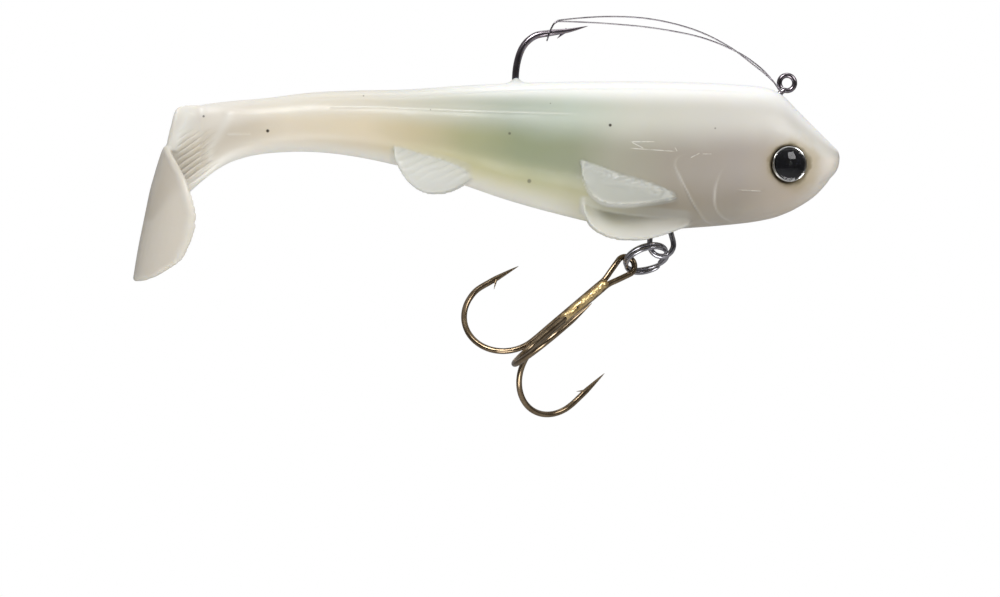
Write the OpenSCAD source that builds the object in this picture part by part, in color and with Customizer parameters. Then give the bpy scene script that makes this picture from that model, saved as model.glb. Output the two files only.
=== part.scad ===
// Soft swimbait on a moulded-in jig head: paddle-tail shad body, up-riding
// main hook with a spring-wire weed guard, and a belly treble on a split ring.
// +X points to the nose, +Z up, and the origin is the centre of the line tie.

/* [Body] */
// Width of the body at its thickest point
body_width = 20.6; // [17:0.2:23]
// How far the paddle is twisted towards the right flank at rest, in degrees
paddle_twist = 19; // [0:1:30]
// Widest part of the tail paddle
paddle_width = 20; // [16:0.5:24]
// How far the paddle's edges curl forward
paddle_cup = 5.5; // [1:0.5:6]
// Diameter of each glued-in eye
eye_d = 7.2; // [6:0.2:8]

/* [Main hook] */
// Diameter of the main hook's wire
hook_wire = 1.25; // [1:0.05:1.5]
// Bore of the line tie
tie_bore = 2.1; // [1.8:0.1:2.6]
// Diameter of the wire in the line tie and its neck
tie_wire = 0.95; // [0.8:0.05:1.1]
// Diameter of the weed guard's spring wire
guard_wire = 0.3; // [0.25:0.05:0.4]

/* [Belly tackle] */
// Diameter of the belly hanger's wire
hanger_wire = 1.1; // [0.95:0.05:1.15]
// Outside diameter of the split ring
ring_od = 9.4; // [9:0.1:9.8]
// Diameter of the split ring's wire
ring_wire = 0.8; // [0.75:0.05:0.85]
// Diameter of the treble hook's wire
treble_wire = 1.1; // [1:0.05:1.2]
// Radius of each treble bend, to the middle of the wire
treble_bend = 8.3; // [8:0.1:8.8]

/* [Hidden] */

skin_sides = 28;        // points round one cross-section of the body
wire_sides = 12;        // points round one cross-section of a wire
smooth = 3;             // steps between two control rows of a loft
fit_gap = 0.04;         // running clearance between pieces that move
far = 300;              // larger than the whole model

// Rows of the body, nose first: x, back, belly, half width as a share of the body's.
// Behind the stem the rows close along the slanted rear edge of the tail fin.
BODY = [
  [10.5, -14.7, -15.3, 0.03], [10.1, -13.5, -17.2, 0.2], [8.6, -12, -19.3, 0.35],
  [5.6, -9, -22.6, 0.5], [2, -5.4, -25, 0.62], [-1, -2.4, -26.4, 0.7],
  [-4, -1, -27.3, 0.77], [-9, -0.4, -28.1, 0.86], [-18, 0.1, -28.9, 0.96],
  [-27, 0.3, -29.3, 1], [-36, 0.3, -28.5, 0.99], [-46, 0.2, -26.2, 0.93],
  [-56, -0.1, -23.4, 0.83], [-66, -0.6, -20, 0.72], [-76, -1.3, -17, 0.6],
  [-86, -1.5, -14.8, 0.49], [-95, -1.9, -13.8, 0.41], [-104, -3, -14.1, 0.33],
  [-110, -3.5, -15.4, 0.25], [-114, -3.9, -17.4, 0.18], [-118, -4.4, -20.6, 0.13],
  [-122, -4.9, -24.2, 0.11], [-123.4, -8.5, -25.5, 0.11],
  [-124.8, -14.5, -26.8, 0.1], [-126.4, -22, -28.2, 0.08]
];
widest = 0.47;          // where a section is widest, as a share of its depth from the back
sway_x = -84;           // flex line in the stem
sway_r = 5.4;           // radius of the stem's rounded front end
sway_swing = 30;        // greatest bend there, in degrees
wag_x = -117.5;         // flex line in the tail fin
wag_r = 1.5;
wag_swing = 42;

// Rows of the paddle, top first: x, z, half width as a share, thickness.
PADDLE = [
  [-124.3, -12.8, 0.08, 1.2], [-124.9, -15.6, 0.42, 1.8], [-125.6, -18.5, 0.68, 2.1],
  [-126.4, -21.5, 0.85, 2.2], [-127.4, -26.4, 1, 2.3], [-128.6, -31.8, 1, 2.2],
  [-129.5, -35.9, 0.85, 1.9], [-130.1, -38.6, 0.52, 1.5], [-130.3, -39.6, 0.25, 0.9]
];

// Rows of the fins, front to back: x, then y and z of the root edge and of the free edge,
// then the thickness. The pectoral fin is on the flank, the pelvic fin below it, and the
// rear fin where the belly narrows to the tail.
PECTORAL = [
  [-23, 9.2, -22.2, 8.6, -23.1, 0.6], [-27.5, 9.5, -20.6, 9.9, -24, 1.1],
  [-32.5, 9.7, -18.8, 10.9, -24.6, 1.1], [-37, 9.7, -17, 11.6, -24.2, 1],
  [-39.8, 9.7, -16, 11.9, -22, 0.9], [-41.3, 10, -16, 11.6, -18.6, 0.6]
];
PELVIC = [
  [-19.6, 4.4, -26.4, 4.4, -28.4, 0.8], [-23.5, 5, -26, 5.2, -30, 1.3],
  [-29, 5.2, -25.4, 5.8, -31.4, 1.5], [-35, 5.2, -24.4, 6.4, -31, 1.5],
  [-39, 5.4, -23.6, 7, -28.9, 1.3], [-40.8, 6, -23.4, 7, -25.6, 0.8]
];
REAR_FIN = [
  [-63.2, 4.6, -17.2, 4.4, -19.4, 0.7], [-66, 5.1, -16, 6, -21.2, 1.2],
  [-70, 5.2, -14.9, 6.7, -22.2, 1.4], [-73.6, 5, -13.9, 6.9, -21.4, 1.3],
  [-76.4, 4.9, -13.1, 6.6, -19, 1.1], [-78.4, 5, -12.9, 5.8, -15.4, 0.7]
];

// Rows of the lead weight: x, top, bottom, half width.
WEIGHT = [
  [1.2, -8.8, -10.2, 0.6], [0, -7.2, -12.6, 1.9], [-3, -6.6, -15.8, 2.9],
  [-9, -8.8, -20, 3.6], [-17, -10.2, -23.4, 3.9], [-25, -10.8, -24.6, 3.7],
  [-32, -12.4, -23.6, 2.7], [-37, -15.5, -21.4, 1.2], [-38, -17.6, -19.4, 0.5]
];

eye_at = [0.05, 6.94, -16.4];  // centre of the left eye, on the skin
eye_yaw = 17;                  // how far an eye looks forward, in degrees
eye_lift = 2;                  // how far it looks up
seat_t = 1.3;
pupil_t = 0.3;
dome_h = 1.15;

// Centreline of the main hook in the x-z plane, from the line tie to the point.
tie_r = (tie_bore + tie_wire) / 2;
HOOK = [
  [-1.05, 0, -1.05], [-2.3, 0, -3], [-3.6, 0, -6.2], [-5.6, 0, -9.6],
  [-9.2, 0, -11.5], [-14, 0, -12], [-29, 0, -12], [-43, 0, -12],
  [-48.6, 0, -10.9], [-52.4, 0, -7.6], [-54.1, 0, -2.6], [-54.2, 0, 2.6],
  [-53, 0, 6.9], [-50.6, 0, 9.3], [-47.4, 0, 10], [-43.6, 0, 10.5], [-39.8, 0, 11.4]
];
point_len = 7;                 // length of the main hook's tapered point
barb_root = [-44.4, 0, 10.1];
barb_tip = [-46.1, 0, 8.7];

hanger_x = [-27.45, -22.7];    // the two legs of the belly hanger
hanger_top = -19;
hanger_r = (hanger_x[1] - hanger_x[0]) / 2;
hanger_c = [(hanger_x[0] + hanger_x[1]) / 2, 0, -32.3];

// The guard's hinge line, and the run of one leg from there to its catch.
guard_at = [-1.1, 0.85, -2];
GUARD = [
  [-1.5, 0.85, -1.2], [-2.8, 0.87, 0.9], [-5.8, 0.9, 3.9], [-11, 0.92, 7],
  [-18, 0.95, 9.9], [-27, 1, 11.9], [-36, 1.05, 12.6], [-44.6, 1.08, 12.5],
  [-46.3, 1.08, 12.1], [-47.1, 1.08, 11], [-47.6, 1.05, 9.7], [-47.9, 0.8, 8.8],
  [-48, 0, 8.5]
];
guard_lean = 0.35;             // one leg arches higher than the other by twice this
ROOT = [[-2.4, 0.85, -9.8], [-1.7, 0.85, -6.4], [-1, 0.85, -2.9]];

// Split ring: its centre, and two directions in its plane.
ring_c = [-28.1, 2, -35.1];
ring_u = [0.948, 0, 0.319];
ring_v = [-0.167, -0.853, 0.496];
ring_n = cross(ring_u, ring_v);
ring_r = (ring_od - ring_wire) / 2;
ring_turns = 2;
ring_steps = 44;               // steps to one turn

// Treble: the axis runs down its shank, and hook 2 stands square to the eye's plane.
treble_axis = unit([-0.737, -0.266, -0.621]);
treble_out = unit(cross(cross(treble_axis, [0.247, -0.961, 0.122]), treble_axis));
treble_side = cross(treble_axis, treble_out);
treble_hang = 181;             // where on the split ring the treble hangs, in degrees
treble_drop = 2.35;            // from the eye's outer end to the ring's wire
treble_eye = ring_point(treble_hang) - treble_drop * treble_axis;
eye_len = 7;
eye_r = 1.85;                  // radius of the eye's end, to the middle of the wire
shank_r = treble_wire / sqrt(3);
bend_at = 27;                  // along the shank, level with the bends' centres
point_at = 18.9;
point_in = 0.9;                // how far a point leans back towards the shank
treble_taper = 5.5;
braze_from = 7.6;
braze_len = 12.4;
braze_steps = 12;
braze_end = 0.8;
braze_mid = 1.36;

function unit(v) = v / norm(v);
function span(p, i, t) =
  let (a = p[max(i - 1, 0)], b = p[i], c = p[i + 1], d = p[min(i + 2, len(p) - 1)])
  (2 * b + t * (c - a) + t * t * (2 * a - 5 * b + 4 * c - d)
    + t * t * t * (3 * b - a - 3 * c + d)) / 2;
// A smooth curve through rows of numbers, with k steps from one row to the next.
function spline(p, k) =
  [for (i = [0:len(p) - 2]) for (j = [0:k - 1]) span(p, i, j / k), p[len(p) - 1]];

function ring_point(angle) =
  ring_c + ring_r * (cos(angle) * ring_u + sin(angle) * ring_v);
function treble_place(along, out, turn) =
  treble_eye + along * treble_axis
    + out * (cos(turn) * treble_out + sin(turn) * treble_side);

// A closed solid through a list of rings that all have the same number of points.
module loft(rings) {
  n = len(rings[0]);
  m = len(rings);
  polyhedron(
    points = [for (r = rings) each r],
    faces = [
      [for (i = [0:n - 1]) i],
      [for (i = [n - 1:-1:0]) (m - 1) * n + i],
      for (j = [0:m - 2]) for (i = [0:n - 1])
        let (a = j * n + i, b = j * n + (i + 1) % n)
        each [[a, b + n, b], [a, a + n, b + n]]
    ],
    convexity = 10
  );
}

// A round wire along a path, with a radius at each point of it.
module wire(path, radii, sides = wire_sides, start = [0, 1, 0]) {
  m = len(path);
  t = [for (i = [0:m - 1]) unit(path[min(i + 1, m - 1)] - path[max(i - 1, 0)])];
  side = [for (i = 0, s = unit(start - (start * t[0]) * t[0]); i < m;
    i = i + 1, s = i < m ? unit(s - (s * t[i]) * t[i]) : s) s];
  loft([for (i = [0:m - 1]) let (up = cross(t[i], side[i]))
    [for (k = [0:sides - 1]) let (q = 360 * k / sides)
      path[i] + radii[i] * (cos(q) * side[i] + sin(q) * up)]]);
}

function body_ring(row) =
  let (z = row[1] + widest * (row[2] - row[1]), w = row[3] * body_width / 2)
  [for (k = [0:skin_sides - 1]) let (q = 360 * k / skin_sides, s = sin(q))
    [row[0], -w * cos(q), s > 0 ? z + s * (row[1] - z) : z + s * (z - row[2])]];

module body_skin() loft([for (row = spline(BODY, smooth)) body_ring(row)]);

// Everything that swings with the part behind a flex line.
module behind(x, r) {
  translate([x - far, -far / 2, -far / 2]) cube([far, far, far]);
  translate([x, 0, -far / 2]) cylinder(r = r, h = far, $fn = 64);
}

// The space that the part behind a flex line sweeps, with its clearance.
module swept(x, r, swing) {
  translate([x, 0, -far / 2]) {
    cylinder(r = r + fit_gap, h = far, $fn = 64);
    linear_extrude(far) polygon([
      [fit_gap, 0], [far * tan(swing), far], [-far, far], [-far, -far],
      [far * tan(swing), -far]
    ]);
  }
}

module mirrored() {
  children();
  mirror([0, 1, 0]) children();
}

// One leaf fin of the left side, as a thin loft from its root edge to its free edge.
module fin(rows)
  loft([for (w = spline(rows, 2))
    [for (k = [0:11]) let (q = 30 * k, c = (1 - cos(q)) / 2)
      [w[0], w[1] + c * (w[3] - w[1]) + w[5] * sin(q) / 2, w[2] + c * (w[4] - w[2])]]]);

// One glued eye, in its own frame: +Z looks out of the head.
module at_eye(side)
  translate([eye_at[0], side * eye_at[1], eye_at[2]])
    rotate([-side * (90 - eye_lift), 0, 0])
      rotate([0, eye_yaw, 0]) children();

module eye_seat(side) color([0.75, 0.75, 0.72]) at_eye(side) difference() {
  translate([0, 0, -seat_t]) cylinder(d = eye_d, h = seat_t, $fn = 64);
  translate([0, 0, -pupil_t]) cylinder(d = eye_d - 1, h = 1, $fn = 64);
}

module pupil(side) color([0.05, 0.05, 0.07]) at_eye(side)
  translate([0, 0, -pupil_t]) cylinder(d = eye_d - 1, h = pupil_t, $fn = 64);

module eye_dome(side) color([0.9, 0.92, 0.93, 0.3]) at_eye(side) intersection() {
  ball = (eye_d * eye_d / 4 + dome_h * dome_h) / (2 * dome_h);
  translate([0, 0, dome_h - ball]) sphere(r = ball, $fn = 96);
  cylinder(d = eye_d, h = dome_h + 1, $fn = 64);
}

module eye_pocket(side) at_eye(side)
  translate([0, 0, -seat_t]) cylinder(d = eye_d, h = seat_t + 4, $fn = 64);

module weight_form()
  loft([for (w = spline(WEIGHT, smooth)) let (z = (w[1] + w[2]) / 2, h = (w[1] - w[2]) / 2)
    [for (k = [0:23]) let (q = 15 * k) [w[0], -w[3] * cos(q), z + h * sin(q)]]]);

module hook_wire_form() {
  path = spline(HOOK, 4);
  wire(path, [for (p = path)
    let (left = norm(p - HOOK[len(HOOK) - 1]), slim = min(1, max(0, -p[0] / 12)))
    left < point_len ? 0.04 + (hook_wire / 2 - 0.04) * pow(left / point_len, 0.8)
      : (tie_wire + slim * (hook_wire - tie_wire)) / 2]);
}

module hanger_form() {
  arc = [for (q = [180:15:360]) hanger_c + hanger_r * [cos(q), 0, sin(q)]];
  path = [
    [hanger_x[0] - 2.4, 0, hanger_top], [hanger_x[0] - 0.5, 0, hanger_top],
    [hanger_x[0], 0, hanger_top - 0.8], [hanger_x[0], 0, -27],
    each arc,
    [hanger_x[1], 0, -27], [hanger_x[1], 0, hanger_top - 0.8],
    [hanger_x[1] + 0.5, 0, hanger_top], [hanger_x[1] + 2.4, 0, hanger_top]
  ];
  wire(path, [for (p = path) hanger_wire / 2]);
}

module root_form() mirrored()
  wire(spline(ROOT, 3), [for (i = [0:2 * 3]) guard_wire / 2], 8);

module soft_body() color([0.86, 0.87, 0.82]) difference() {
  union() {
    body_skin();
    mirrored() {
      fin(PECTORAL);
      fin(PELVIC);
      fin(REAR_FIN);
    }
  }
  swept(sway_x, sway_r, sway_swing);
  weight_form();
  hook_wire_form();
  hanger_form();
  root_form();
  for (side = [-1, 1]) eye_pocket(side);
}

module tail_stem() color([0.88, 0.85, 0.76]) difference() {
  intersection() {
    body_skin();
    behind(sway_x, sway_r);
  }
  swept(wag_x, wag_r, wag_swing);
}

// The paddle is lofted down its spine, then swung about the flex line to its twist.
module tail_paddle() color([0.82, 0.8, 0.77])
  translate([wag_x, 0, 0]) rotate([0, 0, paddle_twist]) translate([-wag_x, 0, 0]) {
    intersection() {
      body_skin();
      behind(wag_x, wag_r);
    }
    loft([for (w = spline(PADDLE, 4))
      [for (k = [0:23]) let (q = 15 * k, v = cos(q), half = w[2] * paddle_width / 2)
        [w[0] + paddle_cup * pow(v * w[2], 2) + w[3] * sin(q) / 2, half * v, w[1]]]]);
  }

module jig_weight() color([0.5, 0.5, 0.5]) difference() {
  weight_form();
  hook_wire_form();
  hanger_form();
  root_form();
}

module main_hook() color([0.2, 0.2, 0.22]) {
  hook_wire_form();
  difference() {
    rotate([90, 0, 0]) rotate_extrude($fn = 64) translate([tie_r, 0]) circle(d = tie_wire, $fn = 32);
    rotate([90, 0, 0]) cylinder(d = tie_bore + 0.08, h = 4, center = true, $fn = 64);
  }
  barb = barb_tip - barb_root;
  translate(barb_root) rotate([0, atan2(barb[0], barb[2]), 0])
    cylinder(r1 = 0.32, r2 = 0.04, h = norm(barb), $fn = 16);
}

module belly_hanger() color([0.3, 0.3, 0.32]) hanger_form();

module guard_roots() color([0.55, 0.55, 0.57]) root_form();

// One wire: up one leg, round the catch below the hook, and back along the other.
module weed_guard() color([0.55, 0.55, 0.57]) {
  leg = spline(concat([guard_at], GUARD), 3);
  last = len(leg) - 1;
  arch = function (i) guard_lean * sin(540 * i / last);
  path = concat(
    [for (i = [0:last]) [leg[i][0], -leg[i][1], leg[i][2] + arch(i)]],
    [for (i = [last - 1:-1:0]) [leg[i][0], leg[i][1], leg[i][2] - arch(i)]]
  );
  wire(path, [for (p = path) guard_wire / 2], 8);
}

// Two turns of wire side by side, with a short cross-over at each end.
module split_ring() color([0.6, 0.6, 0.62]) {
  cross_over = 50;
  last = ring_turns * ring_steps;
  lane = (ring_wire + fit_gap) / 2;
  path = [for (i = [0:last]) let (q = 360 * i / ring_steps)
    let (past = q - 360, k = min(1, max(-1, past / cross_over)))
    ring_point(q - 60) + lane * sin(90 * k) * ring_n];
  wire(path, [for (p = path) ring_wire / 2], wire_sides, ring_n);
}

// One hook of the treble, as [along the shank, out from its axis], eye end first.
function bend_path() =
  let (c = shank_r + treble_bend)
  [
    each [for (a = [eye_len + 3:4:bend_at - 4]) [a, shank_r]],
    each [for (q = [-90:15:90]) [bend_at + treble_bend * cos(q), c + treble_bend * sin(q)]],
    [bend_at - 3, c + treble_bend - 0.45],
    [point_at + 2.2, c + treble_bend - point_in + 0.35],
    [point_at, c + treble_bend - point_in]
  ];

function treble_radius(p, tip) =
  let (left = norm(p - tip))
  left < treble_taper ? 0.04 + (treble_wire / 2 - 0.04) * pow(left / treble_taper, 0.8)
    : treble_wire / 2;

module treble_barb(turn) {
  root = treble_place(point_at + 4.4, shank_r + 2 * treble_bend - point_in + 0.5, turn);
  tip = treble_place(point_at + 6.2, shank_r + 2 * treble_bend - point_in - 0.75, turn);
  hull() {
    translate(root) sphere(r = 0.28, $fn = 16);
    translate(root + 0.45 * (tip - root)) sphere(r = 0.18, $fn = 12);
    translate(tip) sphere(r = 0.04, $fn = 8);
  }
}

// Two hooks of one wire: the wire's middle is the eye, and each end is a hook.
module treble_double_hook() color([0.35, 0.3, 0.22]) {
  side = 120;
  hooks = [for (s = [1, -1]) [for (p = bend_path()) treble_place(p[0], p[1], s * side)]];
  mid_out = shank_r * cos(side);
  mid_side = shank_r * sin(side);
  eye = [for (q = [-110:20:110])
    treble_eye + (eye_r + treble_wire / 2 - eye_r * cos(q)) * treble_axis
      + eye_r * sin(q) * treble_side];
  neck = function (s) treble_eye + (eye_len + 0.6) * treble_axis
    + mid_out * treble_out + s * (mid_side + 0.02) * treble_side;
  hip = function (s) treble_eye + (eye_len - 1.6) * treble_axis
    + mid_out * 0.5 * treble_out + s * 1.15 * treble_side;
  path = concat(
    [for (i = [len(hooks[1]) - 1:-1:0]) hooks[1][i]],
    [neck(-1), hip(-1)], eye, [hip(1), neck(1)], hooks[0]
  );
  fine = spline(path, 2);
  wire(fine, [for (p = fine)
    min(treble_radius(p, path[0]), treble_radius(p, path[len(path) - 1]))],
    10, treble_out);
  treble_barb(side);
  treble_barb(-side);
}

module treble_third_hook() color([0.35, 0.3, 0.22]) {
  path = [for (p = bend_path()) treble_place(p[0], p[1], 0)];
  fine = spline(path, 2);
  wire(fine, [for (p = fine) treble_radius(p, path[len(path) - 1])], 10, treble_side);
  treble_barb(0);
}

// The brazing that fills the grooves between the three shanks.
module treble_braze() color([0.75, 0.55, 0.25]) difference() {
  steps = [0:braze_steps];
  wire([for (i = steps) treble_eye + (braze_from + i * braze_len / braze_steps) * treble_axis],
    [for (i = steps) braze_end + (braze_mid - braze_end) * sin(180 * i / braze_steps)],
    16, treble_out);
  treble_double_hook();
  treble_third_hook();
}

soft_body();
tail_stem();
tail_paddle();
jig_weight();
main_hook();
belly_hanger();
guard_roots();
weed_guard();
eye_seat(1);  // eye_seat_left
pupil(1);  // pupil_left
eye_dome(1);  // eye_dome_left
eye_seat(-1);  // eye_seat_right
pupil(-1);  // pupil_right
eye_dome(-1);  // eye_dome_right
split_ring();
treble_double_hook();
treble_third_hook();
treble_braze();
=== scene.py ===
"""Looks of a soft paddle-tail swimbait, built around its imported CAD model.

Lengths below are in millimetres in the CAD's own frame: +X to the nose, +Z up, and the origin
at the centre of the line tie. Meshes are turned into metres when they are made.
"""
import math

import bmesh
import bpy
import numpy as np
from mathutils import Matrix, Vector, noise


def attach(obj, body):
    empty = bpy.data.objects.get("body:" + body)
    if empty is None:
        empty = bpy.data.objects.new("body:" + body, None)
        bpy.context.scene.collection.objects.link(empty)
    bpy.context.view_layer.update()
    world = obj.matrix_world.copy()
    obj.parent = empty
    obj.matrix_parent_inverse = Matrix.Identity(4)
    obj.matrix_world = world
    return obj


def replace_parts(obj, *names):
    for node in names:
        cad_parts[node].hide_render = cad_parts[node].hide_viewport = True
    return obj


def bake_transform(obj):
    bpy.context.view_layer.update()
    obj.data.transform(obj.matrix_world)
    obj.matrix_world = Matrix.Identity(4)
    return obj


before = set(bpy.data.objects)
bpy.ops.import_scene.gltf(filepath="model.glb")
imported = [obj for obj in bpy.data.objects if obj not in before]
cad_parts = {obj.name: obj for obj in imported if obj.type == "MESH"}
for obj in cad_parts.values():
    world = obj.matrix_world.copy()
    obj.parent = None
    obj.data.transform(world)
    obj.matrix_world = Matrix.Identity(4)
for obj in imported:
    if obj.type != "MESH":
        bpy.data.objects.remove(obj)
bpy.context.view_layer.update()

MM = 0.001

# ---------------------------------------------------------------- sizes, in millimetres
BODY_WIDTH = 20.6
WIDEST = 0.47          # where a section is widest, as a share of its depth from the back
# Rows of the body, nose first: x, back, belly, half width as a share of the body's.
BODY = [
    (10.5, -14.7, -15.3, 0.03), (10.1, -13.5, -17.2, 0.2), (8.6, -12, -19.3, 0.35),
    (5.6, -9, -22.6, 0.5), (2, -5.4, -25, 0.62), (-1, -2.4, -26.4, 0.7),
    (-4, -1, -27.3, 0.77), (-9, -0.4, -28.1, 0.86), (-18, 0.1, -28.9, 0.96),
    (-27, 0.3, -29.3, 1), (-36, 0.3, -28.5, 0.99), (-46, 0.2, -26.2, 0.93),
    (-56, -0.1, -23.4, 0.83), (-66, -0.6, -20, 0.72), (-76, -1.3, -17, 0.6),
    (-86, -1.5, -14.8, 0.49), (-95, -1.9, -13.8, 0.41), (-104, -3, -14.1, 0.33),
    (-110, -3.5, -15.4, 0.25), (-114, -3.9, -17.4, 0.18), (-118, -4.4, -20.6, 0.13),
    (-122, -4.9, -24.2, 0.11), (-123.4, -8.5, -25.5, 0.11),
    (-124.8, -14.5, -26.8, 0.1), (-126.4, -22, -28.2, 0.08),
]
# Rows of the paddle, top first: x, z, half width as a share, thickness.
PADDLE_WIDTH = 20
PADDLE_CUP = 6         # how far its side edges curl forward
PADDLE_TWIST = 20      # degrees, about the flex line of the tail fin
PADDLE = [
    (-124.3, -12.8, 0.08, 1.2), (-124.9, -15.6, 0.42, 1.8), (-125.6, -18.5, 0.68, 2.1),
    (-126.4, -21.5, 0.85, 2.2), (-127.4, -26.4, 1.02, 2.3), (-128.6, -31.8, 1.04, 2.2),
    (-129.5, -35.9, 0.93, 1.9), (-130.1, -38.6, 0.6, 1.5), (-130.3, -39.6, 0.25, 0.9),
]
# Fins, front to back: x, then y and z of the root edge and of the free edge, then thickness.
PECTORAL = [
    (-22.6, 9.1, -22.8, 8.7, -23.1, 0.5), (-27.5, 9.5, -20.6, 9.9, -24, 1.1),
    (-32.5, 9.7, -18.8, 10.9, -24.6, 1.1), (-37, 9.7, -17, 11.6, -24.2, 1),
    (-39.8, 9.7, -16, 11.9, -22, 0.9), (-41.3, 10, -16, 11.6, -18.6, 0.6),
]
PELVIC = [
    (-19.6, 4.4, -26.4, 4.4, -28.4, 0.8), (-23.5, 5, -26, 5.2, -30, 1.3),
    (-29, 5.2, -25.4, 5.8, -31.4, 1.5), (-35, 5.2, -24.4, 6.4, -31, 1.5),
    (-39, 5.4, -23.6, 7, -28.9, 1.3), (-40.8, 6, -23.4, 7, -25.6, 0.8),
]
REAR_FIN = [
    (-63.2, 4.6, -17.2, 4.4, -19.4, 0.7), (-66, 5.1, -16, 6, -21.2, 1.2),
    (-70, 5.2, -14.9, 6.7, -22.2, 1.4), (-73.6, 5, -13.9, 6.9, -21.4, 1.3),
    (-76.4, 4.9, -13.1, 6.6, -19, 1.1), (-78.4, 5, -12.9, 5.8, -15.4, 0.7),
]
WAG_X = -117.5         # flex line in the tail fin
SKIN_CUT_X = -112.2    # where the skin is parted, between the two flex lines
SKIN_VOXEL = 0.3
RAY_X = (-124, -111.5)       # the part of the tail fin that has rays
RAY_Z = (-21.5, -6)
RAY_SLOPE = 36         # degrees

EYE = Vector((0.05, 6.94, -16.4))
EYE_YAW = 17           # degrees the eye looks forward
EYE_LIFT = 2           # degrees it looks up
EYE_R = 3.6

TIE_R = 1.525
TIE_WIRE = 1.05
TIE_TURN = (-112, 224)       # degrees round the line tie, from the shank to the wire's end
HOOK_WIRE = 1.25
# The main hook from the line tie along the shank and round the bend to the point.
HOOK = [
    (-1.05, 0, -1.05), (-2.3, 0, -3), (-3.6, 0, -6.2), (-5.6, 0, -9.6),
    (-9.2, 0, -11.5), (-14, 0, -12), (-29, 0, -12), (-43, 0, -12),
    (-48.6, 0, -10.9), (-52.4, 0, -7.6), (-54.1, 0, -2.6), (-54.2, 0, 2.6),
    (-53, 0, 6.9), (-50.6, 0, 9.3), (-47.4, 0, 10), (-43.6, 0, 10.5), (-39.8, 0, 11.4),
]
POINT_LEN = 7          # the length over which it narrows
HOOK_BARB = ((-44.2, 0, 10.5), (-46, 0, 8.9))

GUARD_WIRE = 0.3
# One leg of the guard, from the head to the middle of its closed end.
GUARD = [
    (-0.9, 0.85, -3.2), (-1.2, 0.85, -2), (-1.7, 0.85, -1.1), (-3.1, 0.87, 0.7),
    (-5.8, 0.9, 3.2), (-11, 0.92, 6.8), (-18, 0.95, 9.9), (-27, 1, 11.9), (-36, 1.05, 12.6),
    (-44.6, 1.08, 12.5), (-46.3, 1.08, 12.1), (-47.1, 1.08, 11), (-47.6, 1.05, 9.7),
    (-47.9, 0.8, 8.8), (-48, 0, 8.5),
]
GUARD_CROSS_X = -10.7  # the legs lean apart behind this place, and the other way in front of it
GUARD_LEAN = (0.8, 0.35)

HANGER_WIRE = 1.1
HANGER_X = (-27.45, -22.7)
HANGER_Z = -32.3
HANGER_TOP = -24
HANGER_LEAN = 0.6      # the front leg leans back by this much above the loop

RING_C = Vector((-28.1, 2, -35.1))
RING_U = Vector((0.948, 0, 0.319))         # two directions in the ring's plane
RING_V = Vector((-0.167, -0.853, 0.496))
RING_N = RING_U.cross(RING_V)
RING_WIRE = 0.8
RING_R = 4.3

TREBLE_WIRE = 1.18
TREBLE_BEND = 8.3
TREBLE_AXIS = Vector((-0.737, -0.266, -0.621)).normalized()
TREBLE_OUT = TREBLE_AXIS.cross(Vector((0.247, -0.961, 0.122))).cross(TREBLE_AXIS).normalized()
TREBLE_SIDE = TREBLE_AXIS.cross(TREBLE_OUT)
TREBLE_HANG = 181      # degrees round the ring at which the treble hangs
TREBLE_DROP = 2.35
TREBLE_EYE_LEN = 7
TREBLE_EYE_R = 1.85
SHANK_R = TREBLE_WIRE / math.sqrt(3)       # three wires lie touching round the axis
BEND_AT = 27           # how far along the axis the shanks end
POINT_AT = 17.6        # how far along it the points end
POINT_IN = {120: 1.9, -120: 0.6, 0: 0.9}   # how far each point leans in, by its turn
TREBLE_TAPER = 5.5
BRAZE_FROM = 7.6
BRAZE_LEN = 12.4

FLOOR_Z = -300
VIEW_X = -57.4         # where the camera looks
VIEW_Z = -43.1
# Lamps: name, place and size in metres, watts.
LAMPS = [
    ("key", (-0.26, -0.56, 0.44), 0.22, 3.1), ("right", (0.46, -0.48, 0.36), 0.3, 1.9),
    ("top", (-0.02, 0.05, 0.62), 0.3, 0.9), ("low", (-0.1, -0.27, -0.27), 0.18, 0.75),
]


# ---------------------------------------------------------------- curves and meshes
def spline(rows, steps):
    """A smooth curve through rows of numbers, with so many steps from one row to the next."""
    p = np.array([tuple(r) for r in rows], float)
    p = np.vstack([p[:1], p, p[-1:]])
    t = np.linspace(0, 1, steps, endpoint=False)[:, None]
    out = []
    for a, b, c, d in zip(p[:-3], p[1:-2], p[2:-1], p[3:]):
        out.append((2 * b + t * (c - a) + t ** 2 * (2 * a - 5 * b + 4 * c - d)
                    + t ** 3 * (3 * b - a - 3 * c + d)) / 2)
    return np.vstack(out + [p[-1:]])


def smoothstep(low, high, value):
    t = np.clip((value - low) / (high - low), 0, 1)
    return t * t * (3 - 2 * t)


def loft(rings, closed=False):
    """Vertices and faces of a tube through rings that all have the same number of points."""
    rings = np.array(rings, float)
    m, n = rings.shape[:2]
    faces = []
    for j in range(m if closed else m - 1):
        k = (j + 1) % m
        for i in range(n):
            h = (i + 1) % n
            faces.append((j * n + i, j * n + h, k * n + h, k * n + i))
    if not closed:
        faces.append(tuple(range(n - 1, -1, -1)))
        faces.append(tuple((m - 1) * n + i for i in range(n)))
    return rings.reshape(-1, 3), faces


def sweep(path, radii, sides=20, start=(0, 1, 0), flat=None):
    """A wire along a path. flat gives, at each point, how far the wire is pressed across start."""
    path = np.array(path, float)
    way = np.gradient(path, axis=0)
    way /= np.linalg.norm(way, axis=1)[:, None]
    side = np.array(start, float)
    turn = np.linspace(0, 2 * math.pi, sides, endpoint=False)[:, None]
    rings = []
    for i, (p, t) in enumerate(zip(path, way)):
        side = side - side.dot(t) * t
        side /= np.linalg.norm(side)
        up = np.cross(t, side)
        press = 1 if flat is None else flat[i]
        rings.append(p + radii[i] * (press * np.cos(turn) * side + np.sin(turn) * up / press))
    return loft(rings)


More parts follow.
